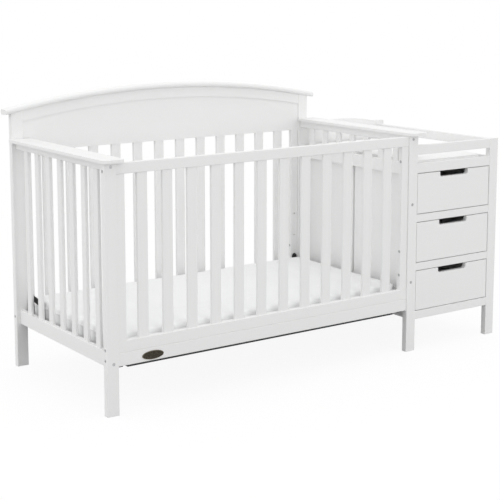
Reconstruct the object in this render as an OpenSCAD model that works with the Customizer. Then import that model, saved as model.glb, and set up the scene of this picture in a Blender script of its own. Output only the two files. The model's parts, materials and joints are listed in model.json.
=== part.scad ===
// Full-size crib with an attached changing table of three drawers.
// Millimetres. +X runs from the crib to the changer, -Y is the front, +Z is up.
// The origin is under the middle of the whole, on the floor.

/* [Overall] */
// Length of the crib over its four posts
crib_length = 1410; // [1340:5:1480]
// Length that the changer adds beyond the crib's shared posts
changer_length = 450; // [400:5:520]
// Depth from the front faces of the front posts to the back faces of the back posts
frame_depth = 746; // [720:2:780]

/* [Posts] */
// Width of a post along the crib
post_w = 46; // [40:1:60]
// Thickness of a post from front to back
post_d = 25; // [22:1:34]
// Height of the crib's two front posts
front_post_h = 877; // [840:1:920]
// Height of the changer's front post
changer_post_h = 837; // [825:1:845]
// Height of the changer's back post
changer_back_post_h = 852; // [840:1:870]
// Rounding of the long edges of posts and rails
edge_ease = 2; // [1:0.5:3]

/* [Panels] */
// Thickness of rails, stiles and end rails
rail_t = 20; // [18:0.5:22]
// How far the front panel and the back rails stand behind the posts' outer line
panel_inset = 5; // [3:0.5:6]
// Width of the stiles beside the posts
stile_w = 35; // [30:1:40]
// Thickness of every slat
slat_t = 13; // [11:0.5:15]
// Rounding of the slats' long edges
slat_ease = 4; // [2:0.5:5]
// Width of the slats in the front and back panels
long_slat_w = 42; // [36:1:46]
// Slats in the front panel, and as many in the back panel
long_slats = 12; // [10:1:12]
// Gap from a stile to its first slat
long_slat_end_gap = 49; // [40:1:56]
// Width of the slats in the end panels
end_slat_w = 32; // [28:1:36]
// Slats in each end panel
end_slats = 7; // [6:1:7]

/* [Front panel] */
// Height of the front panel's top rail
front_top_rail_h = 38; // [34:1:44]
// Drop from the posts' tops to the top of the front top rail
front_rail_drop = 3; // [1:1:8]
// Height of the underside of the lowest front board above the floor
front_base = 171; // [150:1:190]
// Height of the lowest front board
lower_board_h = 47; // [44:1:55]
// Height of the bottom rail on it
bottom_rail_h = 42; // [38:1:50]

/* [End panels] */
// Thickness of the wide cap board on each end panel
end_cap_t = 11; // [9:0.5:14]
// Width of the cap boards
end_cap_w = 88; // [80:1:96]
// How far the left cap stands out beyond the left posts
end_cap_over = 12; // [8:1:16]
// How far the caps stand out in front of the posts
end_cap_front = 20; // [12:1:26]
// Rounding of the caps' front corners in plan
end_cap_corner = 24; // [16:1:34]
// Height of the end panels' top rails
end_top_rail_h = 28; // [24:1:34]
// Height of the end panels' bottom rails
end_bottom_rail_h = 54; // [46:1:60]
// Height of the end bottom rails' undersides above the floor
end_base = 168; // [150:1:185]
// Height of the middle rail's top in the end panel that the crib shares with the changer
shared_mid_top = 768; // [765:1:790]
// Height of that middle rail
shared_mid_h = 51; // [40:1:60]
// Width of the two stiles below it
shared_stile_w = 46; // [44:1:50]

/* [Headboard] */
// Height of the middle of the arched cap's top
headboard_h = 1073; // [1045:1:1095]
// Rise of the arch from the cap's tips to its middle
arch_rise = 71; // [60:1:85]
// Thickness of the arched cap
head_cap_t = 20; // [19:0.5:24]
// Rounding of the arched cap's long edges
head_cap_ease = 9; // [3:0.5:9]
// How far the arched cap stands out past the posts at each side
head_cap_over = 26; // [18:1:50]
// How far the arched cap stands out in front of and behind the posts
head_cap_lip = 12; // [8:1:16]
// Height of the arched rail under the cap
head_rail_h = 41; // [34:1:48]
// Thickness of that rail
head_rail_t = 23; // [21:0.5:24]
// Height from the flat panel's straight lower edge to the top of the cap's middle
head_panel_h = 235; // [214:1:250]
// Thickness of the flat panel
head_panel_t = 19; // [12:0.5:20]

/* [Mattress support] */
// Underside of the steel frame at its lowest setting
support_base = 157; // [140:1:166]
// Leg of the frame's steel angle
angle_leg = 25; // [20:1:30]
// Thickness of the frame's steel angle
angle_t = 2; // [1.5:0.25:3]
// Thickness of the hook brackets at the corners
bracket_t = 2.5; // [1.5:0.25:4]
// Width of the hook brackets
bracket_w = 24; // [20:1:30]
// Height of the hook brackets' tops above the frame's underside
bracket_h = 128; // [110:1:140]
// Height of the notches in the long angles' ends, where the brackets' feet stand
foot_notch = 7; // [6:0.5:9]
// Width of the stop that stands on the frame's left end beside the mattress
stop_w = 18; // [14:1:24]
// Height of the stop's top above the frame's underside
stop_h = 127; // [115:1:135]
// Length of the slanted lug at the stop's top
stop_lug_l = 52; // [40:1:70]
// Height of that lug
stop_lug_h = 24; // [18:1:30]
// Step between the height settings
height_step = 96; // [80:1:100]
// Wire of the support deck
wire_d = 3.4; // [2.6:0.2:4]
// Wires across the deck
cross_wires = 15; // [10:1:20]
// Wires along the deck
long_wires = 6; // [4:1:8]

/* [Mattress] */
// Clearance between the mattress and the steel frame
mattress_clear = 4; // [2:0.5:8]
// Thickness of the mattress at its edges
mattress_t = 114; // [95:1:140]
// Crown of the mattress at its middle
mattress_crown = 7; // [3:1:12]
// How far the mattress's sides are drawn in between its corners
mattress_draw = 4; // [2:0.5:8]
// Rounding of the mattress's corners in plan
mattress_corner = 32; // [26:1:50]

/* [Changer] */
// Underside of the changer's lowest rails above the floor
cabinet_base = 128; // [110:1:150]
// Height of the lowest rail
cabinet_bottom_rail_h = 34; // [30:1:40]
// Height of the rails between the drawers
divider_h = 31; // [26:1:40]
// Height of the rail under the changing tray
tray_rail_h = 39; // [34:1:44]
// How far the changer's front rails and drawer fronts stand behind its posts
cabinet_inset = 2; // [0:0.5:4]
// Thickness of the front rails and drawer fronts
front_t = 18; // [16:0.5:20]
// Thickness of the side boards
side_board_t = 16; // [12:0.5:16]
// Gap between the two side boards of each side
side_board_gap = 12; // [4:1:16]
// Thickness of the tongue that closes that gap
side_tongue_t = 6; // [4:0.5:8]
// Height of the right side rail above the side boards
side_rail_h = 51; // [44:1:56]
// Height of the guard rails over the tray
guard_h = 38; // [32:1:44]
// Thickness of the cabinet's back sheet
back_sheet_t = 4; // [3:0.5:6]
// Rise of the arched back board from its ends to its middle
back_arch_rise = 22; // [14:1:28]
// Thickness of the tray board
tray_t = 12; // [9:0.5:15]
// Depth of the tray board's top below the top of the rails around it
tray_drop = 16; // [10:1:22]
// Side of the square cleats under the tray board
cleat = 15; // [10:1:18]

/* [Changing pad] */
// Gap from the pad to the posts and boards at its sides
pad_side_gap = 8; // [6:1:30]
// Gap from the pad to the rails in front of it and behind it
pad_end_gap = 5; // [4:1:25]
// Thickness of the pad at its edges
pad_t = 26; // [18:1:30]
// Crown of the pad at its middle
pad_crown = 5; // [2:1:8]
// How far the pad's sides are drawn in between its corners
pad_draw = 3; // [1:0.5:5]
// Rounding of the pad's corners in plan
pad_corner = 30; // [24:1:60]

/* [Drawers] */
// Height of a drawer front
drawer_front_h = 162; // [150:1:170]
// Gap round a drawer front
drawer_gap = 2.5; // [1.5:0.25:4]
// Width of the finger cut-out in a drawer front
grip_w = 155; // [120:1:180]
// Depth of the finger cut-out
grip_h = 21; // [18:1:26]
// Rounding of the cut-out's lower corners
grip_r = 9; // [4:1:14]
// Length of a drawer box behind its front
drawer_box_l = 500; // [420:5:560]
// Height of a drawer box
drawer_box_h = 118; // [100:1:125]
// Thickness of the drawer box's boards
drawer_board_t = 12; // [10:0.5:14]
// Thickness of the drawer bottom
drawer_bottom_t = 4; // [3:0.5:6]
// Height of a drawer box above the lower edge of its front
drawer_box_lift = 12; // [8:1:18]
// Space for a runner between a drawer box and the cabinet's side
runner_space = 12.5; // [12.5:0.5:15]
// Depth of the grooves that hold the drawer bottom
groove = 5; // [4:0.5:7]

/* [Runners] */
// Sheet thickness of the runners
runner_sheet = 1.2; // [1:0.1:1.5]
// Inside height of the fixed channels
channel_inner_h = 19; // [18:0.5:22]
// Reach of the channels' flanges
channel_reach = 10; // [9:0.5:11]
// Width of the runner rollers
roller_w = 6; // [5:0.5:7]
// Radius of the roller pins
roller_pin_r = 2.5; // [2:0.25:3]
// Height of the channels' undersides above the drawer boxes' undersides
channel_lift = 30; // [20:1:60]

/* [Fasteners] */
// Radius of the bolts' shanks
bolt_r = 3; // [2.5:0.5:4]
// Radius of the bolts' heads
bolt_head_r = 6; // [5:0.25:6.5]
// Height of the bolts' heads
bolt_head_h = 4.5; // [3:0.25:5]
// Depth of a bolt head below the post's face
bolt_sink = 0.8; // [0.3:0.1:1.5]
// Reach of a bolt into its rail
bolt_reach = 36; // [30:1:44]
// Radius of the barrel nuts
nut_r = 5; // [4.5:0.25:6]
// Length of the barrel nuts
nut_l = 10; // [9:0.5:12]
// Width across the flats of the bolts' hexagon sockets
socket_af = 4; // [3:0.5:5]
// Depth of those sockets
socket_depth = 2; // [1.5:0.25:2.5]

/* [Badge] */
// Width of the plain oval plate
badge_w = 86; // [70:1:110]
// Height of the plain oval plate
badge_h = 31; // [28:1:38]
// How far the plate's middle lies below the middle of its board
badge_drop = 3; // [0:0.5:4]
// Thickness of the plate at its rim
badge_t = 2.4; // [1.5:0.1:4]
// Distance from the crib's left end to the middle of the plate
badge_x = 183; // [150:1:260]

/* [Hidden] */

// Running clearance and the gap of a piece laid on another
seat = 0.3;
fit = 0.1;
bore_clear = 0.25;

// Places along X, from the left face of the crib's left posts
x_in_left = post_w;
x_shared = crib_length - post_w;
x_changer = crib_length;
x_right = crib_length + changer_length - post_w;
x_end = crib_length + changer_length;
x_crib_mid = crib_length / 2;
x_stiles = [x_in_left + stile_w / 2, x_shared - stile_w / 2];
x_cab_mid = (x_changer + x_right) / 2;
cab_w = x_right - x_changer;

// Places along Y, from the front faces of the front posts
y_back = frame_depth - post_d;
y_front_panel = panel_inset;
y_back_rail = frame_depth - rail_t;
y_slat_front = y_front_panel + (rail_t - slat_t) / 2;
y_slat_back = y_back_rail + (rail_t - slat_t) / 2;

// The end rails lie under the middle of their posts, set towards the crib's inside
end_rail_set = 16;
x_left_rail = end_rail_set;
x_shared_rail = crib_length - end_rail_set - rail_t;

// Heights
z_front_rail_top = front_post_h - front_rail_drop;
z_front_rail = z_front_rail_top - front_top_rail_h;
z_bottom_rail = front_base + lower_board_h;
z_bottom_rail_top = z_bottom_rail + bottom_rail_h;
z_end_rail = front_post_h - end_top_rail_h;
z_end_bottom_top = end_base + end_bottom_rail_h;

// The headboard: its panel's lower edge, and one circle for the cap's top with the rest parallel to it
head_panel_base = headboard_h - head_panel_h;
arch_half = crib_length / 2 + head_cap_over;
arch_r = (arch_half * arch_half + arch_rise * arch_rise) / (2 * arch_rise);
arch_z = headboard_h - arch_r;
arch_under = arch_r - head_cap_t;
arch_panel = arch_under - head_rail_h;
arch_fn = 720;

// The changer's drawers and tray
opening_h = drawer_front_h + 2 * drawer_gap;
drawer_pitch = opening_h + divider_h;
z_cab_open = cabinet_base + cabinet_bottom_rail_h;
z_tray_rail = z_cab_open + 2 * drawer_pitch + opening_h;
z_tray_top = z_tray_rail + tray_rail_h;
z_tray = z_tray_top - tray_drop - tray_t;
z_side_rail = z_tray_top - side_rail_h;
z_guard = changer_post_h - guard_h;
y_cab_front = cabinet_inset;
y_cab_inside = y_cab_front + front_t;
y_sheet = frame_depth - back_sheet_t - 2;
y_back_board = y_sheet - front_t;
back_arch_half = cab_w / 2;
back_arch_r = (back_arch_half * back_arch_half + back_arch_rise * back_arch_rise) / (2 * back_arch_rise);
back_arch_end = changer_back_post_h - 2;

// The drawer box and its runners
drawer_w = cab_w - 2 * drawer_gap;
box_w = cab_w - 2 * runner_space;
x_box = x_changer + runner_space;
y_box = y_cab_inside;
groove_lift = 8;
groove_h = drawer_bottom_t + 2 * seat;
channel_h = channel_inner_h + 2 * runner_sheet;
lip_t = runner_sheet;
lip_gap = 0.4;
front_roller_r = (channel_inner_h - lip_t - 3 * lip_gap) / 2;
rear_roller_r = front_roller_r;
y_channel = post_d + 1;
channel_l = drawer_box_l - 20;

// The mattress support
support_clear = bracket_t + 2 * seat;
frame_x0 = x_left_rail + rail_t + support_clear;
frame_x1 = x_shared_rail - support_clear;
x_bracket_left = x_in_left + stile_w / 2 - bracket_w / 2;
frame_y0 = y_front_panel + rail_t + support_clear;
frame_y1 = y_back - support_clear;
z_foot_top = support_base + foot_notch;
z_wire = support_base + angle_t + seat;
z_mattress = z_wire + 2 * wire_d + 2 * seat;

// Whole box, which sets the origin
x_mid = (x_end - head_cap_over) / 2;
y_mid = (frame_depth + head_cap_lip - end_cap_front) / 2;

white = [0.95, 0.95, 0.94];
white_inner = [0.93, 0.93, 0.92];
pale_fabric = [0.90, 0.91, 0.92];
pad_fabric = [0.94, 0.94, 0.93];
black_steel = [0.08, 0.08, 0.09];
grey_steel = [0.45, 0.46, 0.48];
bronze = [0.30, 0.25, 0.16];

// Everything is drawn from the crib's left front corner, then set over the origin
module place() {
    translate([-x_mid, -y_mid, 0]) children();
}

// Points of a rectangle from the origin with rounded corners
function round_rect(w, h, r, n) = [
    for (c = [[w - r, h - r, 0], [r, h - r, 90], [r, r, 180], [w - r, r, 270]])
        for (i = [0:n]) [c[0] + r * cos(c[2] + 90 * i / n), c[1] + r * sin(c[2] + 90 * i / n)]
];

// A board between two corners, with its long edges rounded along its grain
module board(from, to, grain, ease = edge_ease, n = 2) {
    s = to - from;
    translate(from) {
        if (grain == "x") rotate([90, 0, 90]) linear_extrude(s.x) polygon(round_rect(s.y, s.z, ease, n));
        if (grain == "y") translate([0, s.y, 0]) rotate([90, 0, 0])
            linear_extrude(s.y) polygon(round_rect(s.x, s.z, ease, n));
        if (grain == "z") linear_extrude(s.z) polygon(round_rect(s.x, s.y, ease, n));
    }
}

module post(x, y, h) {
    board([x, y, 0], [x + post_w, y + post_d, h], "z");
}

// A round bar from a point along one of the axes
module rod(at, dir, r, l) {
    turn = dir.x != 0 ? [0, 90 * dir.x, 0] : [-90 * dir.y, 0, 0];
    translate(at) rotate(turn) cylinder(r = r, h = l, $fn = 32);
}

// --- Bolts: each entry is the point where the axis meets the face, its way in, and the wood it clamps ---
bolt_x = end_rail_set + rail_t / 2;
bolt_y = post_d / 2;
end_bolt_lift = 16;
end_bolt_heights = [end_base + end_bolt_lift, z_end_rail + end_top_rail_h / 2];
low_bolt_lift = 26;
rail_bolt_lift = 16;
top_bolt_lift = 13;
front_bolt_heights = [
    front_base + low_bolt_lift, z_bottom_rail + rail_bolt_lift, z_front_rail + top_bolt_lift
];
back_bolt_height = front_base + low_bolt_lift;
side_bolt_heights = [
    cabinet_base + cabinet_bottom_rail_h / 2, z_tray_rail + tray_rail_h / 2, z_guard + guard_h / 2
];
board_bolt_heights = [285, 601];
stile_bolt_heights = [320, 416, 777];
bolt_y_back = frame_depth - rail_t / 2;
bolt_x_shared = crib_length - bolt_x;

left_bolts = [for (z = end_bolt_heights) for (y = [0, 1])
    [[bolt_x, y == 0 ? 0 : frame_depth, z], [0, y == 0 ? 1 : -1, 0], post_d]];
shared_bolts = [for (z = concat(board_bolt_heights, end_bolt_heights[1])) for (y = [0, 1])
    [[bolt_x_shared, y == 0 ? 0 : frame_depth, z], [0, y == 0 ? 1 : -1, 0], post_d]];
front_bolts = [for (z = front_bolt_heights) for (x = [0, 1])
    [[x == 0 ? 0 : crib_length, bolt_y, z], [x == 0 ? 1 : -1, 0, 0], post_w]];
stile_bolts = [for (z = stile_bolt_heights) [[x_shared - stile_w, bolt_y, z], [1, 0, 0], stile_w]];
back_stile_bolts = [[[x_shared - stile_w, bolt_y_back, stile_bolt_heights[0]], [1, 0, 0], stile_w]];
back_bolts = [for (x = [0, 1])
    [[x == 0 ? 0 : crib_length, bolt_y_back, back_bolt_height], [x == 0 ? 1 : -1, 0, 0], post_w]];
side_bolts = [for (z = side_bolt_heights) [[x_end, y_cab_front + front_t / 2, z], [-1, 0, 0], post_w]];
all_bolts = concat(
    left_bolts, shared_bolts, front_bolts, stile_bolts, back_stile_bolts, back_bolts, side_bolts
);

// Axis of the bolt's barrel nut, square to the bolt and level
function nut_axis(b) = b[1].x != 0 ? [0, 1, 0] : [1, 0, 0];
function nut_centre(b) = b[0] + b[1] * (b[2] + bolt_reach - nut_r - 3);

module bolt(b) {
    head_at = b[0] + b[1] * bolt_sink;
    difference() {
        union() {
            rod(head_at, b[1], bolt_head_r, bolt_head_h);
            rod(head_at, b[1], bolt_r, b[2] + bolt_reach - bolt_sink);
        }
        translate(head_at - b[1]) rotate(b[1].x != 0 ? [0, 90 * b[1].x, 0] : [-90 * b[1].y, 0, 0])
            cylinder(d = socket_af / cos(30), h = socket_depth + 1, $fn = 6);
    }
}

// Space that a bolt and its nut take out of a post or rail
module bolt_cut(b) {
    rod(b[0] - b[1], b[1], bolt_head_r + bore_clear, bolt_sink + bolt_head_h + 1);
    rod(b[0], b[1], bolt_r + bore_clear, b[2] + bolt_reach + 2);
}

// A nut's bore opens on the side of its rail or post that nut_axis times side points to
module nut_cut(b, side) {
    a = nut_axis(b);
    rod(nut_centre(b) - a * side * (nut_l / 2 + fit), a * side, nut_r + fit, nut_l + rail_t);
}

module nut(b) {
    a = nut_axis(b);
    difference() {
        rod(nut_centre(b) - a * nut_l / 2, a, nut_r, nut_l);
        rod(nut_centre(b) - b[1] * 2 * nut_r, b[1], bolt_r + fit, 4 * nut_r);
    }
}

module cut_bolts(bolts) {
    for (b = bolts) bolt_cut(b);
}

// --- Posts ---
module post_front_left() {
    color(white) place() difference() {
        post(0, 0, front_post_h);
        cut_bolts([for (b = concat(left_bolts, front_bolts)) if (b[0].x < post_w && b[0].y < post_d) b]);
    }
}

module post_front_shared() {
    color(white) place() difference() {
        post(x_shared, 0, front_post_h);
        cut_bolts([for (b = concat(shared_bolts, front_bolts)) if (b[0].x > x_shared && b[0].y < post_d) b]);
        cut_bolts(stile_bolts);
        for (b = stile_bolts) nut_cut(b, 1);
    }
}

// Space under the arch, out to a given radius
module under_arch(r, y0, y1) {
    translate([x_crib_mid, y1, arch_z]) rotate([90, 0, 0]) cylinder(r = r, h = y1 - y0, $fn = arch_fn);
}

module back_post(x) {
    intersection() {
        post(x, y_back, headboard_h);
        under_arch(arch_under, y_back - 1, frame_depth + 1);
    }
}

module post_back_left() {
    color(white) place() difference() {
        back_post(0);
        cut_bolts([for (b = concat(left_bolts, back_bolts)) if (b[0].x < post_w && b[0].y > y_back) b]);
    }
}

module post_back_shared() {
    color(white) place() difference() {
        back_post(x_shared);
        cut_bolts([for (b = concat(shared_bolts, back_bolts)) if (b[0].x > x_shared && b[0].y > y_back) b]);
        cut_bolts(back_stile_bolts);
        for (b = back_stile_bolts) nut_cut(b, -1);
    }
}

module post_front_changer() {
    color(white) place() difference() {
        post(x_right, 0, changer_post_h);
        cut_bolts(side_bolts);
    }
}

module post_back_changer() {
    color(white) place() post(x_right, y_back, changer_back_post_h);
}

// --- Headboard ---
module headboard_cap() {
    y0 = y_back - head_cap_lip;
    y1 = frame_depth + head_cap_lip;
    color(white) place() intersection() {
        translate([x_crib_mid, y1, arch_z]) rotate([90, 0, 0]) rotate_extrude($fn = arch_fn)
            translate([arch_under, 0]) polygon(round_rect(head_cap_t, y1 - y0, head_cap_ease, 4));
        translate([-head_cap_over, y0, headboard_h - 2 * arch_rise])
            cube([crib_length + 2 * head_cap_over, y1 - y0, 2 * arch_rise + 1]);
    }
}

module headboard_rail() {
    y0 = frame_depth - head_rail_t;
    color(white) place() intersection() {
        difference() {
            under_arch(arch_under, y0, frame_depth);
            under_arch(arch_panel, y0 - 1, frame_depth + 1);
        }
        translate([x_in_left, y0, head_panel_base])
            cube([x_shared - x_in_left, frame_depth - y0, headboard_h - head_panel_base]);
    }
}

module headboard_panel() {
    y0 = frame_depth - head_panel_t;
    color(white) place() intersection() {
        translate([x_in_left, y0, head_panel_base])
            cube([x_shared - x_in_left, head_panel_t, headboard_h - head_panel_base]);
        under_arch(arch_panel, y0 - 1, frame_depth + 1);
    }
}

// --- Long panels ---
module stiles(y, z0, z1) {
    for (x = [x_in_left, x_shared - stile_w]) board([x, y, z0], [x + stile_w, y + rail_t, z1], "z");
}

// The blind holes of the three height settings, bored from the stiles' inner faces
module height_holes(y, dir) {
    for (x = x_stiles)
        for (i = [0:2])
            rod([x, y - dir, z_bracket_bolt + i * height_step], [0, dir, 0],
                bracket_bolt_r + bore_clear, height_hole_depth + 1);
}

// A row of slats along X between the stiles
module long_slat_row(y, z0, z1) {
    first = x_in_left + stile_w + long_slat_end_gap;
    last = x_shared - stile_w - long_slat_end_gap - long_slat_w;
    for (i = [0:long_slats - 1]) {
        x = first + (last - first) * i / (long_slats - 1);
        board([x, y, z0], [x + long_slat_w, y + slat_t, z1], "z", slat_ease, 4);
    }
}

module back_stiles() {
    color(white) place() difference() {
        stiles(y_back_rail, z_bottom_rail_top, head_panel_base);
        cut_bolts(back_stile_bolts);
        height_holes(y_back_rail, 1);
    }
}

module back_slats() {
    color(white) place() long_slat_row(y_slat_back, z_bottom_rail_top, head_panel_base);
}

module back_bottom_rail() {
    color(white) place() difference() {
        board([x_in_left, y_back_rail, front_base], [x_shared, frame_depth, z_bottom_rail_top], "x");
        cut_bolts(back_bolts);
        for (b = back_bolts) nut_cut(b, -1);
    }
}

// Bolts of the front panel whose height lies between two heights
function front_bolts_in(z0, z1) = [for (b = front_bolts) if (b[0].z > z0 && b[0].z < z1) b];

module front_rail(z0, z1) {
    mine = front_bolts_in(z0, z1);
    difference() {
        board([x_in_left, y_front_panel, z0], [x_shared, y_front_panel + rail_t, z1], "x");
        cut_bolts(mine);
        for (b = mine) nut_cut(b, 1);
    }
}

module front_top_rail() {
    color(white) place() front_rail(z_front_rail, z_front_rail_top);
}

module front_bottom_rail() {
    color(white) place() front_rail(z_bottom_rail, z_bottom_rail_top);
}

module front_lower_board() {
    color(white) place() front_rail(front_base, z_bottom_rail);
}

module front_stiles() {
    color(white) place() difference() {
        stiles(y_front_panel, z_bottom_rail_top, z_front_rail);
        cut_bolts(stile_bolts);
        height_holes(y_front_panel + rail_t, -1);
    }
}

module front_slats() {
    color(white) place() long_slat_row(y_slat_front, z_bottom_rail_top, z_front_rail);
}

// A plain oval plate with a raised rim and a slightly domed middle left flat
module badge_plate() {
    n = 48;
    rim = 2.2;
    oval = [for (i = [0:n - 1]) [cos(360 * i / n), sin(360 * i / n)]];
    z = front_base + lower_board_h / 2 - badge_drop;
    color(bronze) place() translate([badge_x, y_front_panel, z]) rotate([90, 0, 0]) difference() {
        linear_extrude(badge_t) polygon([for (p = oval) [p.x * badge_w / 2, p.y * badge_h / 2]]);
        translate([0, 0, badge_t - 0.8]) linear_extrude(2)
            polygon([for (p = oval) [p.x * (badge_w / 2 - rim), p.y * (badge_h / 2 - rim)]]);
    }
}

// --- End panels ---
module end_cap(x) {
    r = end_cap_corner;
    w = end_cap_w;
    l = y_back + end_cap_front;
    corners = [
        for (c = [[r, r, 180], [w - r, r, 270]])
            for (i = [0:8]) [c[0] + r * cos(c[2] + 90 * i / 8), c[1] + r * sin(c[2] + 90 * i / 8)]
    ];
    translate([x, -end_cap_front, front_post_h]) linear_extrude(end_cap_t)
        polygon(concat(corners, [[w, l], [0, l]]));
}

module end_rail(x, z0, z1, bolts) {
    mine = [for (b = bolts) if (b[0].z > z0 && b[0].z < z1) b];
    difference() {
        board([x, post_d, z0], [x + rail_t, y_back, z1], "y");
        cut_bolts(mine);
        for (b = mine) nut_cut(b, 1);
    }
}

module end_slat_row(x, z0) {
    space = y_back - post_d;
    gap = (space - end_slats * end_slat_w) / (end_slats + 1);
    for (i = [0:end_slats - 1]) {
        y = post_d + gap + i * (gap + end_slat_w);
        board([x, y, z0], [x + slat_t, y + end_slat_w, z_end_rail], "z", slat_ease, 4);
    }
}

x_left_slats = x_left_rail + (rail_t - slat_t) / 2;
x_shared_slats = x_shared_rail + (rail_t - slat_t) / 2;
x_shared_cap = crib_length - post_w - 4;

module left_end_cap() {
    color(white) place() end_cap(-end_cap_over);
}

module left_end_top_rail() {
    color(white) place() end_rail(x_left_rail, z_end_rail, front_post_h, left_bolts);
}

module left_end_bottom_rail() {
    color(white) place() end_rail(x_left_rail, end_base, z_end_bottom_top, left_bolts);
}

module left_end_slats() {
    color(white) place() end_slat_row(x_left_slats, z_end_bottom_top);
}

module shared_end_cap() {
    color(white) place() end_cap(x_shared_cap);
}

module shared_end_top_rail() {
    color(white) place() end_rail(x_shared_rail, z_end_rail, front_post_h, shared_bolts);
}

module shared_end_bottom_rail() {
    color(white) place() board([x_shared_rail, post_d, end_base],
        [x_shared_rail + rail_t, y_back, z_end_bottom_top], "y");
}

module shared_end_slats() {
    color(white) place() end_slat_row(x_shared_slats, shared_mid_top);
}

module shared_end_mid_rail() {
    color(white) place() board([x_shared_rail, post_d, shared_mid_top - shared_mid_h],
        [x_shared_rail + rail_t, y_back, shared_mid_top], "y");
}

module shared_end_stiles() {
    mine = [for (b = shared_bolts) if (b[0].z > z_end_bottom_top && b[0].z < z_end_rail) b];
    color(white) place() difference() {
        for (y = [post_d, y_back - shared_stile_w])
            board([x_shared_rail, y, z_end_bottom_top],
                [x_shared_rail + rail_t, y + shared_stile_w, shared_mid_top - shared_mid_h], "z");
        cut_bolts(mine);
        for (b = mine) nut_cut(b, 1);
    }
}

// --- Mattress support ---
notch_clear = 20;
stop_back = 117;
stop_lug_rise = 8;

// Steel angles: flat legs under the deck, upright legs round the mattress. The end ones lie
// at the height of the brackets' feet, and the long ones are notched over the feet.
module angle_y(x, side) {
    flat = side > 0 ? x : x - angle_leg;
    up = side > 0 ? x : x - angle_t;
    y0 = frame_y0 + angle_t + seat;
    l = frame_y1 - frame_y0 - 2 * (angle_t + seat);
    translate([flat, y0, z_foot_top]) cube([angle_leg, l, angle_t]);
    translate([up, y0, z_foot_top]) cube([angle_t, l, angle_leg]);
}

// An upright strap on the left end angle, with a lug that slants up towards the back
module end_stop() {
    y1 = frame_y1 - stop_back;
    y0 = y1 - stop_w;
    high = support_base + stop_h;
    lug_end = y1 + stop_lug_l;
    lug_top = high + stop_lug_rise;
    translate([frame_x0, 0, 0]) rotate([90, 0, 90]) linear_extrude(angle_t) polygon([
        [y0, z_foot_top], [y1, z_foot_top], [y1, high - stop_lug_h],
        [lug_end, lug_top - stop_lug_h], [lug_end, lug_top], [y1, high], [y0, high]
    ]);
}

module angle_x(y, side) {
    notch = x_bracket_left + bracket_w + notch_clear;
    l = x_shared + x_in_left - 2 * notch;
    flat = side > 0 ? y : y - angle_leg;
    up = side > 0 ? y : y - angle_t;
    translate([notch, flat, support_base]) cube([l, angle_leg, angle_t]);
    translate([notch, up, support_base]) cube([l, angle_t, angle_leg]);
    translate([frame_x0, up, z_foot_top]) cube([frame_x1 - frame_x0, angle_t, angle_leg - foot_notch]);
}

module support_frame() {
    color(black_steel) place() {
        angle_x(frame_y0, 1);
        angle_x(frame_y1, -1);
        angle_y(frame_x0, 1);
        angle_y(frame_x1, -1);
        end_stop();
    }
}

// Round wires: a lower layer from front to back, and on it an upper one between the end angles
module support_deck() {
    inset = angle_t + 2;
    x0 = frame_x0 + angle_leg + 2;
    x1 = frame_x1 - angle_leg - 2;
    y0 = frame_y0 + inset;
    y1 = frame_y1 - inset;
    color(black_steel) place() {
        for (i = [1:cross_wires]) {
            x = x0 + (x1 - x0) * i / (cross_wires + 1);
            rod([x, y0, z_wire + wire_d / 2], [0, 1, 0], wire_d / 2, y1 - y0);
        }
        for (i = [1:long_wires]) {
            y = y0 + (y1 - y0) * i / (long_wires + 1);
            rod([x0, y, z_wire + 1.5 * wire_d + fit], [1, 0, 0], wire_d / 2, x1 - x0);
        }
    }
}

bracket_bolt_drop = 12;
y_bracket_front = y_front_panel + rail_t + seat;
y_bracket_back = y_back_rail - seat - bracket_t;
z_bracket_bolt = support_base + bracket_h - bracket_bolt_drop;
bracket_bolt_r = 3;
height_hole_depth = 14;

// A strap against the stile with a hook's foot under the frame
module bracket(x, y, side) {
    foot = 22;
    y_foot = side > 0 ? y : y + bracket_t - foot;
    taper = 9;
    half = bracket_w / 2;
    low = z_foot_top - seat - angle_t;
    high = support_base + bracket_h;
    difference() {
        union() {
            translate([x, y + bracket_t, 0]) rotate([90, 0, 0]) linear_extrude(bracket_t) polygon([
                [-half, low], [half, low], [half, high - taper], [half - taper, high],
                [taper - half, high], [-half, high - taper]
            ]);
            translate([x - half, y_foot, low]) cube([bracket_w, foot, angle_t]);
        }
        rod([x, y - 1, z_bracket_bolt], [0, 1, 0], bracket_bolt_r + bore_clear, bracket_t + 2);
    }
}

module support_brackets() {
    color(black_steel) place() for (x = x_stiles) {
        bracket(x, y_bracket_front, 1);
        bracket(x, y_bracket_back, -1);
    }
}

// A domed knob with a stub through the strap; it is turned out and set again at each height
module support_bolt(x, y, dir) {
    face = dir > 0 ? y + bracket_t : y;
    rod([x, face + fit * dir, z_bracket_bolt], [0, dir, 0], 9, 5);
    rod([x, face + fit * dir, z_bracket_bolt], [0, -dir, 0], bracket_bolt_r, bracket_t + fit);
}

module support_bolts() {
    color(black_steel) place() for (x = x_stiles) {
        support_bolt(x, y_bracket_front, 1);
        support_bolt(x, y_bracket_back, -1);
    }
}

// --- Cushions ---
// Rings of a cushion as [inset from the outline, height], from the bottom's middle to the top's
function cushion_rings(t, crown, bulge) = concat(
    [[0.55 * bulge, 0]],
    [for (i = [0:3]) [bulge * (1 - sin(22.5 * i + 11)) * 0.5, bulge * (1 - cos(22.5 * i + 11)) * 0.5]],
    [[0.16 * bulge, t * 0.5]],
    [for (i = [3:-1:0]) [bulge * (1 - sin(22.5 * i + 11)) * 0.5, t - bulge * (1 - cos(22.5 * i + 11)) * 0.5]],
    [for (s = [0.22, 0.45, 0.7, 0.93]) [-s, t + crown * sin(90 * s)]]
);

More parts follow.
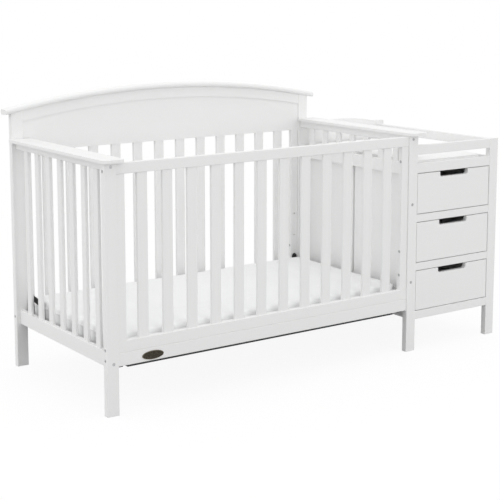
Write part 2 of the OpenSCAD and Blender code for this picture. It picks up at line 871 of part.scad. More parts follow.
// Outline of a cushion at an inset: a rounded rectangle whose sides are drawn in
function cushion_outline(a, b, r, inset, draw, n) = [
    for (c = [[1, 1, 0], [-1, 1, 90], [-1, -1, 180], [1, -1, 270]])
        for (i = [-2:n + 2])
            let (k = min(max(i, 0), n), ang = c[2] + 90 * k / n, ra = max(r - inset, 2))
            let (along = i < 0 ? -i : i > n ? i - n : 0)
            let (px = c[0] * (a - inset - ra) + ra * cos(ang), py = c[1] * (b - inset - ra) + ra * sin(ang))
            // Points past the corner's arc step along the straight sides
            let (step_x = (a - inset - ra) * along * 0.45, step_y = (b - inset - ra) * along * 0.45)
            let (horizontal = (c[0] * c[1] > 0) == (i > n))
            let (qx = along == 0 ? px : horizontal ? px - c[0] * step_x : px)
            let (qy = along == 0 ? py : horizontal ? py : py - c[1] * step_y)
            [
                qx * (1 - draw / a * (1 - pow(abs(qy) / b, 2))),
                qy * (1 - draw / b * (1 - pow(abs(qx) / a, 2)))
            ]
];

// A crowned cushion standing on z = 0, centred on the origin
module cushion(a, b, t, crown, draw, r, bulge) {
    n = 5;
    rings = cushion_rings(t, crown, bulge);
    count = len(cushion_outline(a, b, r, 0, draw, n));
    m = len(rings);
    layers = [for (k = rings)
        let (inner = k[0] < 0, f = inner ? 1 + k[0] : 1)
        let (ring = cushion_outline(a, b, r, inner ? 0.08 * bulge : k[0], draw, n))
        [for (p = ring) [p.x * f, p.y * f, k[1]]]];
    points = concat([for (l = layers) for (p = l) p], [[0, 0, 0], [0, 0, t + crown]]);
    low = len(points) - 2;
    high = len(points) - 1;
    faces = concat(
        [for (j = [0:m - 2]) for (i = [0:count - 1])
            let (i2 = (i + 1) % count) [j * count + i, (j + 1) * count + i, (j + 1) * count + i2]],
        [for (j = [0:m - 2]) for (i = [0:count - 1])
            let (i2 = (i + 1) % count) [j * count + i, (j + 1) * count + i2, j * count + i2]],
        [for (i = [0:count - 1]) [low, i, (i + 1) % count]],
        [for (i = [0:count - 1]) [high, (m - 1) * count + (i + 1) % count, (m - 1) * count + i]]
    );
    polyhedron(points, faces, convexity = 4);
}

module mattress() {
    a = (frame_x1 - frame_x0) / 2 - angle_t - mattress_clear;
    b = (frame_y1 - frame_y0) / 2 - angle_t - mattress_clear;
    color(pale_fabric) place() translate([(frame_x0 + frame_x1) / 2, (frame_y0 + frame_y1) / 2, z_mattress])
        cushion(a, b, mattress_t, mattress_crown, mattress_draw, mattress_corner, 34);
}

module changing_pad() {
    a = cab_w / 2 - pad_side_gap;
    y0 = y_cab_inside + pad_end_gap;
    y1 = y_back_board - pad_end_gap;
    color(pad_fabric) place() translate([x_cab_mid, (y0 + y1) / 2, z_tray + tray_t + seat])
        cushion(a, (y1 - y0) / 2, pad_t, pad_crown, pad_draw, pad_corner, 16);
}

// --- Changer ---
module side_boards(x, x_tongue, z1) {
    half = (y_back - post_d - side_board_gap) / 2;
    for (y = [post_d, y_back - half])
        board([x, y, cabinet_base], [x + side_board_t, y + half, z1], "z", 1);
    translate([x_tongue, post_d + half - 2, cabinet_base])
        cube([side_tongue_t, side_board_gap + 2, z1 - cabinet_base]);
}

// The left boards stand behind the crib's end panel, up to its middle rail's top
module changer_left_boards() {
    color(white) place() side_boards(x_changer - side_board_t, x_changer - side_tongue_t, z_tray_top);
}

module changer_right_boards() {
    color(white) place() side_boards(x_right, x_right, z_side_rail);
}

module changer_right_rail() {
    color(white) place() board([x_right, post_d, z_side_rail],
        [x_right + side_board_t, y_back, z_tray_top], "y");
}

module cabinet_rail(z0, z1) {
    mine = [for (b = side_bolts) if (b[0].z > z0 && b[0].z < z1) b];
    difference() {
        board([x_changer, y_cab_front, z0], [x_right, y_cab_inside, z1], "x", 1.5);
        cut_bolts(mine);
        for (b = mine) nut_cut(b, 1);
    }
}

module tray_rail() {
    color(white) place() cabinet_rail(z_tray_rail, z_tray_top);
}

module drawer_dividers() {
    color(white) place() for (i = [1, 2]) {
        z = z_cab_open + i * drawer_pitch - divider_h;
        cabinet_rail(z, z + divider_h);
    }
}

module cabinet_bottom_rail() {
    color(white) place() cabinet_rail(cabinet_base, z_cab_open);
}

module front_guard_rail() {
    color(white) place() cabinet_rail(z_guard, changer_post_h);
}

module right_guard_rail() {
    x = x_right + (post_w - rail_t) / 2 - 10;
    color(white) place() board([x, post_d, z_guard], [x + rail_t, y_back, changer_post_h], "y");
}

module changer_back_sheet() {
    color(white_inner) place() translate([x_changer, y_sheet, cabinet_base])
        cube([cab_w, back_sheet_t, z_tray_top - cabinet_base]);
}

// The back board stands from the drawers' top to its low arch
module changer_back_board() {
    color(white) place() intersection() {
        translate([x_changer, y_back_board, z_tray_rail]) cube([cab_w, front_t, 200]);
        translate([x_cab_mid, y_sheet, back_arch_end + back_arch_rise - back_arch_r]) rotate([90, 0, 0])
            cylinder(r = back_arch_r, h = front_t, $fn = 360);
    }
}

module tray_board() {
    color(white_inner) place() translate([x_changer, y_cab_inside, z_tray])
        cube([cab_w, y_back_board - y_cab_inside, tray_t]);
}

module tray_cleats() {
    color(white_inner) place() for (x = [x_changer, x_right - cleat])
        board([x, post_d, z_tray - cleat], [x + cleat, y_back_board, z_tray], "y", 1);
}

// --- Drawers: i counts from the lowest, 0 ---
function drawer_z(i) = z_cab_open + drawer_gap + i * drawer_pitch;
function box_z(i) = drawer_z(i) + drawer_box_lift;

// The groove for the drawer bottom, in the front, the sides and the back
module bottom_groove(i) {
    translate([x_box + drawer_board_t - groove - seat, y_box - groove - seat, box_z(i) + groove_lift])
        cube([box_w - 2 * drawer_board_t + 2 * (groove + seat),
              drawer_box_l - drawer_board_t + 2 * (groove + seat), groove_h]);
}

// The finger cut-out, open at the top
module grip_cut(i) {
    z = drawer_z(i) + drawer_front_h;
    w = grip_w;
    r = grip_r;
    n = 6;
    arcs = [
        for (c = [[-w / 2 + r, 180], [w / 2 - r, 270]])
            for (k = [0:n]) [c[0] + r * cos(c[1] + 90 * k / n), r - grip_h + r * sin(c[1] + 90 * k / n)]
    ];
    translate([x_cab_mid, y_cab_inside + 1, z]) rotate([90, 0, 0]) linear_extrude(front_t + 2)
        polygon(concat(arcs, [[w / 2, 1], [-w / 2, 1]]));
}

module drawer_front(i) {
    color(white) place() difference() {
        board([x_changer + drawer_gap, y_cab_front, drawer_z(i)],
            [x_changer + drawer_gap + drawer_w, y_cab_inside, drawer_z(i) + drawer_front_h], "x", 1.5);
        grip_cut(i);
        bottom_groove(i);
    }
}

module drawer_box(i) {
    z0 = box_z(i);
    y1 = y_box + drawer_box_l;
    color(white_inner) place() difference() {
        union() {
            for (x = [x_box, x_box + box_w - drawer_board_t])
                board([x, y_box, z0], [x + drawer_board_t, y1, z0 + drawer_box_h], "y", 1);
            board([x_box + drawer_board_t, y1 - drawer_board_t, z0],
                [x_box + box_w - drawer_board_t, y1, z0 + drawer_box_h], "x", 1);
        }
        bottom_groove(i);
    }
}

module drawer_bottom(i) {
    w = box_w - 2 * drawer_board_t + 2 * groove;
    l = drawer_box_l - drawer_board_t + 2 * groove;
    color(white_inner) place()
        translate([x_box + drawer_board_t - groove, y_box - groove, box_z(i) + groove_lift + seat])
            cube([w, l, drawer_bottom_t]);
}

function channel_z(i) = box_z(i) + channel_lift;

// Roller with its bore, on an axis along X
module roller(x, y, z, r) {
    difference() {
        rod([x, y, z], [1, 0, 0], r, roller_w);
        rod([x - 1, y, z], [1, 0, 0], roller_pin_r + fit, roller_w + 2);
    }
}

// Fixed channel on the cabinet's side, with its pin and roller at the front end.
// side is 1 on the left and -1 on the right, and x_wall is the face that it is screwed to.
module fixed_runner(i, side) {
    x_wall = side > 0 ? x_changer : x_right;
    z = channel_z(i);
    roller_y = y_channel + front_roller_r + 1;
    roller_z = z + runner_sheet + lip_gap + front_roller_r;
    nose = 2 * front_roller_r + 4;
    web = side > 0 ? x_wall : x_wall - runner_sheet;
    flange = side > 0 ? x_wall : x_wall - channel_reach;
    roller_x = side > 0 ? x_wall + runner_sheet + seat : x_wall - runner_sheet - seat - roller_w;
    pin_x = side > 0 ? x_wall : x_wall - runner_sheet - seat - roller_w - 1;
    translate([web, y_channel, z]) cube([runner_sheet, channel_l, channel_h]);
    translate([flange, y_channel + nose, z]) cube([channel_reach, channel_l - nose, runner_sheet]);
    translate([flange, y_channel + nose, z + channel_h - runner_sheet])
        cube([channel_reach, channel_l - nose, runner_sheet]);
    rod([pin_x, roller_y, roller_z], [1, 0, 0], roller_pin_r, runner_sheet + seat + roller_w + 1);
    roller(roller_x, roller_y, roller_z, front_roller_r);
}

module cabinet_runners() {
    color(grey_steel) place() for (i = [0:2]) for (side = [1, -1]) fixed_runner(i, side);
}

// Moving runner on the drawer's side: a plate, a lip that rides on the front roller,
// and a roller at the back end that runs inside the channel
module moving_runner(i, side) {
    x_side = side > 0 ? x_box : x_box + box_w;
    z = channel_z(i);
    lip_z = z + runner_sheet + lip_gap + 2 * front_roller_r + lip_gap;
    roller_y = y_box + drawer_box_l - 40;
    roller_z = z + runner_sheet + lip_gap + rear_roller_r;
    reach = runner_space - runner_sheet - 1.3;
    plate = side > 0 ? x_side - runner_sheet : x_side;
    lip = side > 0 ? x_side - reach : x_side;
    roller_x = side > 0 ? x_side - runner_sheet - seat - roller_w : x_side + runner_sheet + seat;
    pin_x = side > 0 ? x_side - runner_sheet - seat - roller_w - 1 : x_side;
    lip_l = roller_y - rear_roller_r - 2 - (y_box + 6);
    translate([plate, y_box + 6, z + 2 * runner_sheet])
        cube([runner_sheet, drawer_box_l - 12, channel_inner_h - runner_sheet]);
    translate([lip, y_box + 6, lip_z]) cube([reach, lip_l, lip_t]);
    rod([pin_x, roller_y, roller_z], [1, 0, 0], roller_pin_r, runner_sheet + seat + roller_w + 1);
    roller(roller_x, roller_y, roller_z, rear_roller_r);
}

module drawer_runners(i) {
    color(grey_steel) place() for (side = [1, -1]) moving_runner(i, side);
}

module lower_drawer_front() { drawer_front(0); }
module lower_drawer_box() { drawer_box(0); }
module lower_drawer_bottom() { drawer_bottom(0); }
module lower_drawer_runners() { drawer_runners(0); }
module middle_drawer_front() { drawer_front(1); }
module middle_drawer_box() { drawer_box(1); }
module middle_drawer_bottom() { drawer_bottom(1); }
module middle_drawer_runners() { drawer_runners(1); }
module top_drawer_front() { drawer_front(2); }
module top_drawer_box() { drawer_box(2); }
module top_drawer_bottom() { drawer_bottom(2); }
module top_drawer_runners() { drawer_runners(2); }

// --- Fasteners ---
module frame_fasteners() {
    color(grey_steel) place() for (b = all_bolts) {
        bolt(b);
        nut(b);
    }
}

post_front_left();
post_back_left();
post_front_shared();
post_back_shared();
post_front_changer();
post_back_changer();
headboard_panel();
headboard_rail();
headboard_cap();
back_stiles();
back_slats();
back_bottom_rail();
left_end_cap();
left_end_top_rail();
left_end_slats();
left_end_bottom_rail();
shared_end_cap();
shared_end_top_rail();
shared_end_slats();
shared_end_mid_rail();
shared_end_stiles();
shared_end_bottom_rail();
front_top_rail();
front_stiles();
front_slats();
front_bottom_rail();
front_lower_board();
badge_plate();
support_frame();
support_deck();
support_brackets();
support_bolts();
mattress();
changer_left_boards();
changer_right_boards();
changer_right_rail();
changer_back_sheet();
changer_back_board();
tray_board();
tray_cleats();
tray_rail();
drawer_dividers();
cabinet_bottom_rail();
front_guard_rail();
right_guard_rail();
changing_pad();
cabinet_runners();
frame_fasteners();
top_drawer_front();
top_drawer_box();
top_drawer_bottom();
top_drawer_runners();
middle_drawer_front();
middle_drawer_box();
middle_drawer_bottom();
middle_drawer_runners();
lower_drawer_front();
lower_drawer_box();
lower_drawer_bottom();
lower_drawer_runners();
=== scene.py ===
"""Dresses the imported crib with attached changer: paint, metal and fabric materials,
the mattress and the changing pad made as soft pieces, plain studio light and the camera."""

import json
import math

import bmesh
import bpy
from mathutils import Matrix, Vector
from mathutils.bvhtree import BVHTree


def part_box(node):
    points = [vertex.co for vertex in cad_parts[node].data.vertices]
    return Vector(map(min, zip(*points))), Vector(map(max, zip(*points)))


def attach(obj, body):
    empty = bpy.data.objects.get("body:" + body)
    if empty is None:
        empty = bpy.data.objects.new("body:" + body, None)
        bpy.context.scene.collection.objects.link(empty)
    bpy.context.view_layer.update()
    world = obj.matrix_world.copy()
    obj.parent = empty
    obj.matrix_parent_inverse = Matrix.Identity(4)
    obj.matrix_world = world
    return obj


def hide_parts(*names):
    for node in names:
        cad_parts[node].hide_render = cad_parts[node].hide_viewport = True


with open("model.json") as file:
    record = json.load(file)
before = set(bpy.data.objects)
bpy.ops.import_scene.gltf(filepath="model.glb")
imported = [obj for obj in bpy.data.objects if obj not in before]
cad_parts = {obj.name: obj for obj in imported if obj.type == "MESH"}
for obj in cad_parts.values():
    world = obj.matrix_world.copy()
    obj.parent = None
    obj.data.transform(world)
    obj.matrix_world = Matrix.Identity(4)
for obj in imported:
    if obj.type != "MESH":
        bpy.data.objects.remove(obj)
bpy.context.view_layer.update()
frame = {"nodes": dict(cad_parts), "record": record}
scene = bpy.context.scene

# --- Camera: fitted to the six feet and the long edges of the photograph ---
CAMERA_AT = Vector((-2.872, -3.980, 1.442))
CAMERA_HEADING = math.radians(54.79)  # from +X towards +Y
CAMERA_PITCH = math.radians(8.41)  # below level
FOCAL_PX = 1243.0  # of a picture 500 pixels wide
PICTURE_PX = 500.0
SENSOR_MM = 36.0
SHIFT_Y = -0.15

# --- Light: a white surround, and weak soft lamps low in front, low at the left and overhead ---
SURROUND = 1.01
LAMP_AIM = Vector((0, 0, 0.45))
LAMP_FAR = 6.5
LAMP_SIZE = 3.5
LAMPS = {  # heading from +X towards +Y, height angle, watts
    "front_lamp": (math.radians(-80), math.radians(15), 47.0),
    "left_lamp": (math.radians(175), math.radians(15), 45.0),
    "top_lamp": (math.radians(-80), math.radians(82), 21.0),
}
FLOOR_BOUNCE = (0.45, 0.45, 0.45, 1.0)
FLOOR_SEEN = (0.94, 0.94, 0.94, 1.0)
FLOOR_HALF = 60.0
FLOOR_SIDES = 32
FLOOR_WHITE_NEAR = 0.91  # share of plain white that the camera sees close to the object
FLOOR_WHITE_FROM = 1.4  # metres from the middle where the floor starts to turn plain white
FLOOR_WHITE_AT = 3.4

# --- Colours, linear ---
PAINT = (0.855, 0.855, 0.852)
LAMINATE = (0.82, 0.82, 0.815)
MATTRESS_CLOTH = (0.94, 0.942, 0.945)
PAD_CLOTH = (0.945, 0.945, 0.943)
BLACK_STEEL = (0.012, 0.012, 0.013)
WHITE_STEEL = (0.74, 0.74, 0.73)
ZINC = (0.52, 0.52, 0.53)
BRONZE = (0.036, 0.032, 0.024)
BRONZE_RIM = (0.15, 0.13, 0.095)


# --- Node helpers ---
class Graph:
    """A material's node tree with short calls for the nodes used here."""

    def __init__(self, name):
        self.material = bpy.data.materials.new(name)
        self.material.use_nodes = True
        self.tree = self.material.node_tree
        self.shader = self.tree.nodes["Principled BSDF"]
        self.place = self.node("ShaderNodeTexCoord").outputs["Object"]

    def node(self, kind, **values):
        made = self.tree.nodes.new(kind)
        for key, value in values.items():
            setattr(made, key, value)
        return made

    def link(self, source, target):
        self.tree.links.new(source, target)

    def feed(self, socket, value):
        if isinstance(value, bpy.types.NodeSocket):
            self.link(value, socket)
        else:
            socket.default_value = value

    def math(self, operation, a, b=0.0):
        made = self.node("ShaderNodeMath", operation=operation)
        self.feed(made.inputs[0], a)
        self.feed(made.inputs[1], b)
        return made.outputs[0]

    def stretched(self, scale):
        made = self.node("ShaderNodeMapping")
        self.link(self.place, made.inputs["Vector"])
        made.inputs["Scale"].default_value = scale
        return made.outputs["Vector"]

    def noise(self, scale, detail=2.0, rough=0.5):
        """Noise with the given repeats per metre along x, y and z."""
        made = self.node("ShaderNodeTexNoise")
        self.link(self.stretched(scale), made.inputs["Vector"])
        made.inputs["Scale"].default_value = 1.0
        made.inputs["Detail"].default_value = detail
        made.inputs["Roughness"].default_value = rough
        return made.outputs["Fac"]

    def span(self, value, low, high, from_low=0.3, from_high=0.7):
        """Maps from_low..from_high to low..high and stops at both ends."""
        made = self.node("ShaderNodeMapRange")
        self.link(value, made.inputs["Value"])
        made.inputs["From Min"].default_value = from_low
        made.inputs["From Max"].default_value = from_high
        made.inputs["To Min"].default_value = low
        made.inputs["To Max"].default_value = high
        return made.outputs["Result"]

    def blend(self, share, a, b):
        made = self.node("ShaderNodeMix", data_type="RGBA")
        self.feed(made.inputs["Factor"], share)
        self.feed(made.inputs["A"], a)
        self.feed(made.inputs["B"], b)
        return made.outputs["Result"]

    def bump(self, height, strength, distance, under=None):
        made = self.node("ShaderNodeBump")
        self.link(height, made.inputs["Height"])
        made.inputs["Strength"].default_value = strength
        made.inputs["Distance"].default_value = distance
        if under is not None:
            self.link(under, made.inputs["Normal"])
        return made.outputs["Normal"]

    def edges(self, radius):
        """1 on sharp outer edges and in corners, 0 on the flat."""
        soft = self.node("ShaderNodeBevel", samples=4)
        soft.inputs["Radius"].default_value = radius
        flat = self.node("ShaderNodeNewGeometry").outputs["Normal"]
        dot = self.node("ShaderNodeVectorMath", operation="DOT_PRODUCT")
        self.link(soft.outputs["Normal"], dot.inputs[0])
        self.link(flat, dot.inputs[1])
        return self.span(dot.outputs["Value"], 1.0, 0.0, 0.80, 0.98)

    def set(self, **values):
        for key, value in values.items():
            self.feed(self.shader.inputs[key.replace("_", " ")], value)
        return self.material


def rgba(colour, factor=1.0):
    return (*[min(c * factor, 1.0) for c in colour], 1.0)


# --- Materials ---
GRAIN_LONG = 2.2  # repeats per metre along the grain
GRAIN_ACROSS = 95.0
PORE_LONG = 28.0
PORE_ACROSS = 900.0
PAINT_IOR = 1.46
PAINT_RUBBED = (0.90, 0.89, 0.87)
STEEL_RUBBED = (0.30, 0.30, 0.30)
BADGE_RIM = 0.0022  # width of the oval plate's rim
WELT_SHADE = 0.97  # of the cover's own colour


def every(repeats):
    return (repeats, repeats, repeats)


def along(axis, long, across):
    return tuple(long if a == axis else across for a in "xyz")


def paint(name, grain):
    """Satin paint over fine-grained wood: the grain telegraphs faintly, and edges are a little worn."""
    g = Graph(name)
    figure = g.noise(along(grain, GRAIN_LONG, GRAIN_ACROSS), detail=5.0, rough=0.62)
    pores = g.noise(along(grain, PORE_LONG, PORE_ACROSS))
    peel = g.noise(every(340.0))
    cloud = g.noise(every(3.1), detail=3.0, rough=0.55)
    worn = g.edges(radius=0.0016)
    tone = g.blend(g.span(cloud, low=0.0, high=1.0), rgba(PAINT, 0.988), rgba(PAINT, 1.0))
    dark_grain = g.span(figure, low=0.0, high=0.35, from_low=0.5, from_high=0.8)
    tone = g.blend(dark_grain, tone, rgba(PAINT, 0.975))
    tone = g.blend(g.math("MULTIPLY", worn, 0.15), tone, rgba(PAINT_RUBBED, 0.97))
    normal = g.bump(figure, strength=0.05, distance=0.0008)
    normal = g.bump(pores, strength=0.04, distance=0.0003, under=normal)
    normal = g.bump(peel, strength=0.05, distance=0.0003, under=normal)
    rough = g.math("ADD", g.span(cloud, low=0.40, high=0.50), g.span(figure, low=0.0, high=0.05))
    return g.set(Base_Color=tone, Roughness=rough, Normal=normal, IOR=PAINT_IOR)


def laminate(name):
    """Foil on board: a tight pebbled print and a duller sheen."""
    g = Graph(name)
    pebble = g.node("ShaderNodeTexVoronoi")
    g.link(g.stretched(every(900.0)), pebble.inputs["Vector"])
    cloud = g.noise(every(5.0), detail=3.0)
    tone = g.blend(g.span(cloud, low=0.0, high=1.0), rgba(LAMINATE, 0.97), rgba(LAMINATE))
    normal = g.bump(pebble.outputs["Distance"], strength=0.10, distance=0.0003)
    rough = g.span(cloud, low=0.50, high=0.60)
    return g.set(Base_Color=tone, Roughness=rough, Normal=normal, IOR=PAINT_IOR)


def coated_steel(name, colour, smooth, rough):
    """Powder coat: fine orange peel, rubbed a little brighter on the edges."""
    g = Graph(name)
    peel = g.noise(every(650.0))
    patch = g.noise(every(14.0), detail=4.0, rough=0.6)
    worn = g.edges(radius=0.0009)
    tone = g.blend(g.span(patch, low=0.0, high=1.0), rgba(colour, 0.85), rgba(colour, 1.1))
    tone = g.blend(g.math("MULTIPLY", worn, 0.22), tone, rgba(STEEL_RUBBED))
    normal = g.bump(peel, strength=0.18, distance=0.0003)
    return g.set(Base_Color=tone, Roughness=g.span(patch, smooth, rough), Normal=normal)


def zinc(name):
    """Zinc-plated steel with turning marks."""
    g = Graph(name)
    marks = g.noise(every(1800.0), rough=0.6)
    patch = g.noise(every(160.0), detail=3.0, rough=0.6)
    tone = g.blend(g.span(patch, low=0.0, high=1.0), rgba(ZINC, 0.85), rgba(ZINC, 1.15))
    return g.set(
        Base_Color=tone,
        Metallic=0.85,
        Roughness=g.span(patch, low=0.34, high=0.52),
        Normal=g.bump(marks, strength=0.12, distance=0.0002),
    )


def bronze(name, node):
    """A plain oval plate: dark patina on the face, and a rim rubbed a little brighter."""
    lo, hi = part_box(node)
    middle = (lo + hi) / 2
    face_x, face_z = (hi.x - lo.x) / 2 - BADGE_RIM, (hi.z - lo.z) / 2 - BADGE_RIM
    g = Graph(name)
    parts = g.node("ShaderNodeSeparateXYZ")
    g.link(g.place, parts.inputs[0])
    across = g.math("DIVIDE", g.math("SUBTRACT", parts.outputs["X"], middle.x), face_x)
    up = g.math("DIVIDE", g.math("SUBTRACT", parts.outputs["Z"], middle.z), face_z)
    squares = g.math("ADD", g.math("MULTIPLY", across, across), g.math("MULTIPLY", up, up))
    out = g.math("SQRT", squares)  # 1 where the face meets the rim
    bright = g.span(out, low=0.0, high=1.0, from_low=0.985, from_high=1.01)
    hammered = g.noise(every(420.0), detail=3.0, rough=0.6)
    patina = g.noise(every(150.0), detail=4.0, rough=0.65)
    spots = g.span(patina, low=0.0, high=1.0, from_low=0.35, from_high=0.65)
    face = g.blend(spots, rgba(BRONZE, 0.6), rgba(BRONZE, 2.3))
    tone = g.blend(bright, face, rgba(BRONZE_RIM))
    return g.set(
        Base_Color=tone,
        Metallic=0.9,
        Roughness=g.span(patina, low=0.38, high=0.62),
        Normal=g.bump(hammered, strength=0.35, distance=0.0004),
    )


def cloth(name, colour, pitch, coarse, strength, rough, sheen):
    """A plain weave: threads cross on every face, with slubs and soft unevenness."""
    g = Graph(name)
    parts = g.node("ShaderNodeSeparateXYZ")
    g.link(g.place, parts.inputs[0])
    drift = g.span(g.noise(every(26.0)), low=-1.1, high=1.1)
    turns = 2 * math.pi / pitch
    threads = None
    for axis in "XYZ":
        phase = g.math("ADD", g.math("MULTIPLY", parts.outputs[axis], turns), drift)
        wave = g.math("SINE", phase)
        threads = wave if threads is None else g.math("ADD", threads, wave)
    slub = g.noise((coarse, coarse * 1.6, coarse * 1.3), detail=4.0, rough=0.6)
    cloud = g.noise(every(6.0), detail=3.0)
    crossing = g.span(threads, low=0.0, high=0.5, from_low=-1.6, from_high=1.6)
    tone = g.blend(crossing, rgba(colour, 0.955), rgba(colour))
    tone = g.blend(g.span(cloud, low=0.0, high=0.5), tone, rgba(colour, 0.975))
    height = g.span(threads, low=0.0, high=1.0, from_low=-3.0, from_high=3.0)
    normal = g.bump(height, strength, distance=0.0006)
    normal = g.bump(slub, strength=0.12, distance=0.0012, under=normal)
    return g.set(
        Base_Color=tone,
        Roughness=g.span(slub, rough, rough + 0.1),
        Normal=normal,
        Sheen_Weight=sheen,
        Sheen_Roughness=0.4,
        Specular_IOR_Level=0.3,
    )


PAINT_X = paint("paint_grain_x", "x")
PAINT_Y = paint("paint_grain_y", "y")
PAINT_Z = paint("paint_grain_z", "z")
FOIL = laminate("laminate_foil")
BLACK = coated_steel("black_powder_coat", BLACK_STEEL, smooth=0.38, rough=0.55)
WHITE = coated_steel("white_epoxy_coat", WHITE_STEEL, smooth=0.30, rough=0.42)
PLATED = zinc("zinc_plating")
PLATE = bronze("bronze_plate", "badge_plate")
MATTRESS_FABRIC = cloth(
    "mattress_weave", MATTRESS_CLOTH, pitch=0.0016, coarse=240.0, strength=0.30, rough=0.80, sheen=0.15
)
MATTRESS_WELT = cloth(
    "mattress_welt", tuple(c * WELT_SHADE for c in MATTRESS_CLOTH),
    pitch=0.0011, coarse=400.0, strength=0.35, rough=0.75, sheen=0.15,
)
PAD_FABRIC = cloth(
    "pad_weave", PAD_CLOTH, pitch=0.0013, coarse=300.0, strength=0.22, rough=0.62, sheen=0.08
)
PAD_WELT = cloth(
    "pad_welt", tuple(c * WELT_SHADE for c in PAD_CLOTH),
    pitch=0.0010, coarse=420.0, strength=0.30, rough=0.62, sheen=0.08,
)

ALONG_X = (
    "headboard_panel", "headboard_rail", "headboard_cap", "back_bottom_rail",
    "front_top_rail", "front_bottom_rail", "front_lower_board", "front_guard_rail",
    "changer_back_board", "tray_rail", "drawer_dividers", "cabinet_bottom_rail",
    "top_drawer_front", "middle_drawer_front", "lower_drawer_front",
)
ALONG_Y = (
    "left_end_cap", "left_end_top_rail", "left_end_bottom_rail",
    "shared_end_cap", "shared_end_top_rail", "shared_end_mid_rail", "shared_end_bottom_rail",
    "changer_right_rail", "right_guard_rail",
)
BY_SLOT = {
    "white_paint": PAINT_Z,
    "white_laminate": FOIL,
    "black_steel": BLACK,
    "runner_steel": WHITE,
    "zinc_steel": PLATED,
    "bronze_plate": PLATE,
    "mattress_cover": MATTRESS_FABRIC,
    "pad_cover": PAD_FABRIC,
}
slot_of = {row["node"]: row["material_slot"] for row in frame["record"]["subparts"]}
for node, thing in frame["nodes"].items():
    finish = PAINT_X if node in ALONG_X else PAINT_Y if node in ALONG_Y else BY_SLOT[slot_of[node]]
    for place in thing.material_slots:
        place.material = finish


# --- Soft pieces ---
CORNER_STEPS = 8
LEAST_CORNER = 0.004
EDGE_STEPS = 4
CROWN_RINGS = 12
SWELL_FRAMES = 20
SWELL_PRESSURE = 4.0
SWELL_DRAWN_IN = 0.85  # share of the swell's limit by which the block starts smaller
STILL = 1e-9  # metres
WELT_CORNER_STEPS = 12
WELT_STEP = 0.012
WELT_REACH = 0.1  # how far outside the piece the search for its surface starts
WELT_SMOOTHINGS = 3
WELT_SIDES = 10
UP = Vector((0, 0, 1))


def outline(half_x, half_y, radius, per_corner):
    """Points of a rounded rectangle round the origin, anticlockwise from its right side."""
    points = []
    for quarter, (sx, sy) in enumerate(((1, 1), (-1, 1), (-1, -1), (1, -1))):
        for i in range(per_corner + 1):
            turn = math.pi / 2 * (quarter + i / per_corner)
            points.append((
                sx * (half_x - radius) + radius * math.cos(turn),
                sy * (half_y - radius) + radius * math.sin(turn),
            ))
    return points


def block(lo, hi, inset, corner, edge, crown):
    """A closed block with rounded corners and edges and a crowned top, as a bmesh."""
    middle = (lo + hi) / 2
    half_x, half_y = (hi.x - lo.x) / 2 - inset, (hi.y - lo.y) / 2 - inset
    low, high = lo.z + inset, hi.z - inset - crown
    levels = []
    for i in range(EDGE_STEPS + 1):
        turn = math.pi / 2 * i / EDGE_STEPS
        levels.append((edge * (1 - math.sin(turn)), low + edge * (1 - math.cos(turn))))
    for i in range(EDGE_STEPS, -1, -1):
        turn = math.pi / 2 * i / EDGE_STEPS
        levels.append((edge * (1 - math.sin(turn)), high - edge * (1 - math.cos(turn))))
    mesh = bmesh.new()
    rings = []
    for pull, z in levels:
        ring = outline(half_x - pull, half_y - pull, max(corner - pull, LEAST_CORNER), CORNER_STEPS)
        rings.append([mesh.verts.new((middle.x + x, middle.y + y, z)) for x, y in ring])
    rim = outline(half_x - edge, half_y - edge, max(corner - edge, LEAST_CORNER), CORNER_STEPS)
    for i in range(1, CROWN_RINGS):
        share = 1 - i / CROWN_RINGS
        z = high + crown * math.cos(math.pi / 2 * share)
        rings.append([
            mesh.verts.new((middle.x + x * share, middle.y + y * share, z)) for x, y in rim
        ])
    count = len(rings[0])
    for below, above in zip(rings, rings[1:]):
        for i in range(count):
            j = (i + 1) % count
            mesh.faces.new((below[i], below[j], above[j], above[i]))
    top = mesh.verts.new((middle.x, middle.y, high + crown))
    bottom = mesh.verts.new((middle.x, middle.y, low))
    for i in range(count):
        j = (i + 1) % count
        mesh.faces.new((rings[-1][i], rings[-1][j], top))
        mesh.faces.new((rings[0][j], rings[0][i], bottom))
    return mesh


def applied(thing):
    """Replaces an object's mesh by its evaluated one and drops its modifiers."""
    bpy.context.view_layer.update()
    seen = thing.evaluated_get(bpy.context.evaluated_depsgraph_get())
    mesh = bpy.data.meshes.new_from_object(seen)
    thing.modifiers.clear()
    thing.data = mesh


def place_mesh(name, mesh):
    data = bpy.data.meshes.new(name)
    mesh.to_mesh(data)
    mesh.free()
    thing = bpy.data.objects.new(name, data)
    scene.collection.objects.link(thing)
    return thing


def swell(thing, cap, floor_z):
    """Blows the piece up a little as cloth under pressure, then holds each point near its start."""
    start = [v.co.copy() for v in thing.data.vertices]
    cloth_mod = thing.modifiers.new("swell", "CLOTH")
    settings = cloth_mod.settings
    settings.quality = 4
    settings.use_pressure = True
    settings.uniform_pressure_force = SWELL_PRESSURE
    settings.tension_stiffness = 12
    settings.compression_stiffness = 12
    settings.shear_stiffness = 4
    settings.bending_stiffness = 0.6
    settings.effector_weights.gravity = 0
    cloth_mod.point_cache.frame_start = 1
    cloth_mod.point_cache.frame_end = SWELL_FRAMES
    for number in range(1, SWELL_FRAMES + 1):
        scene.frame_set(number)
    applied(thing)
    scene.frame_set(1)
    for vertex, was in zip(thing.data.vertices, start):
        move = vertex.co - was
        far = move.length
        if far > STILL:
            move *= cap * math.tanh(far / cap) / far
        vertex.co = was + move
        vertex.co.z = max(vertex.co.z, floor_z)


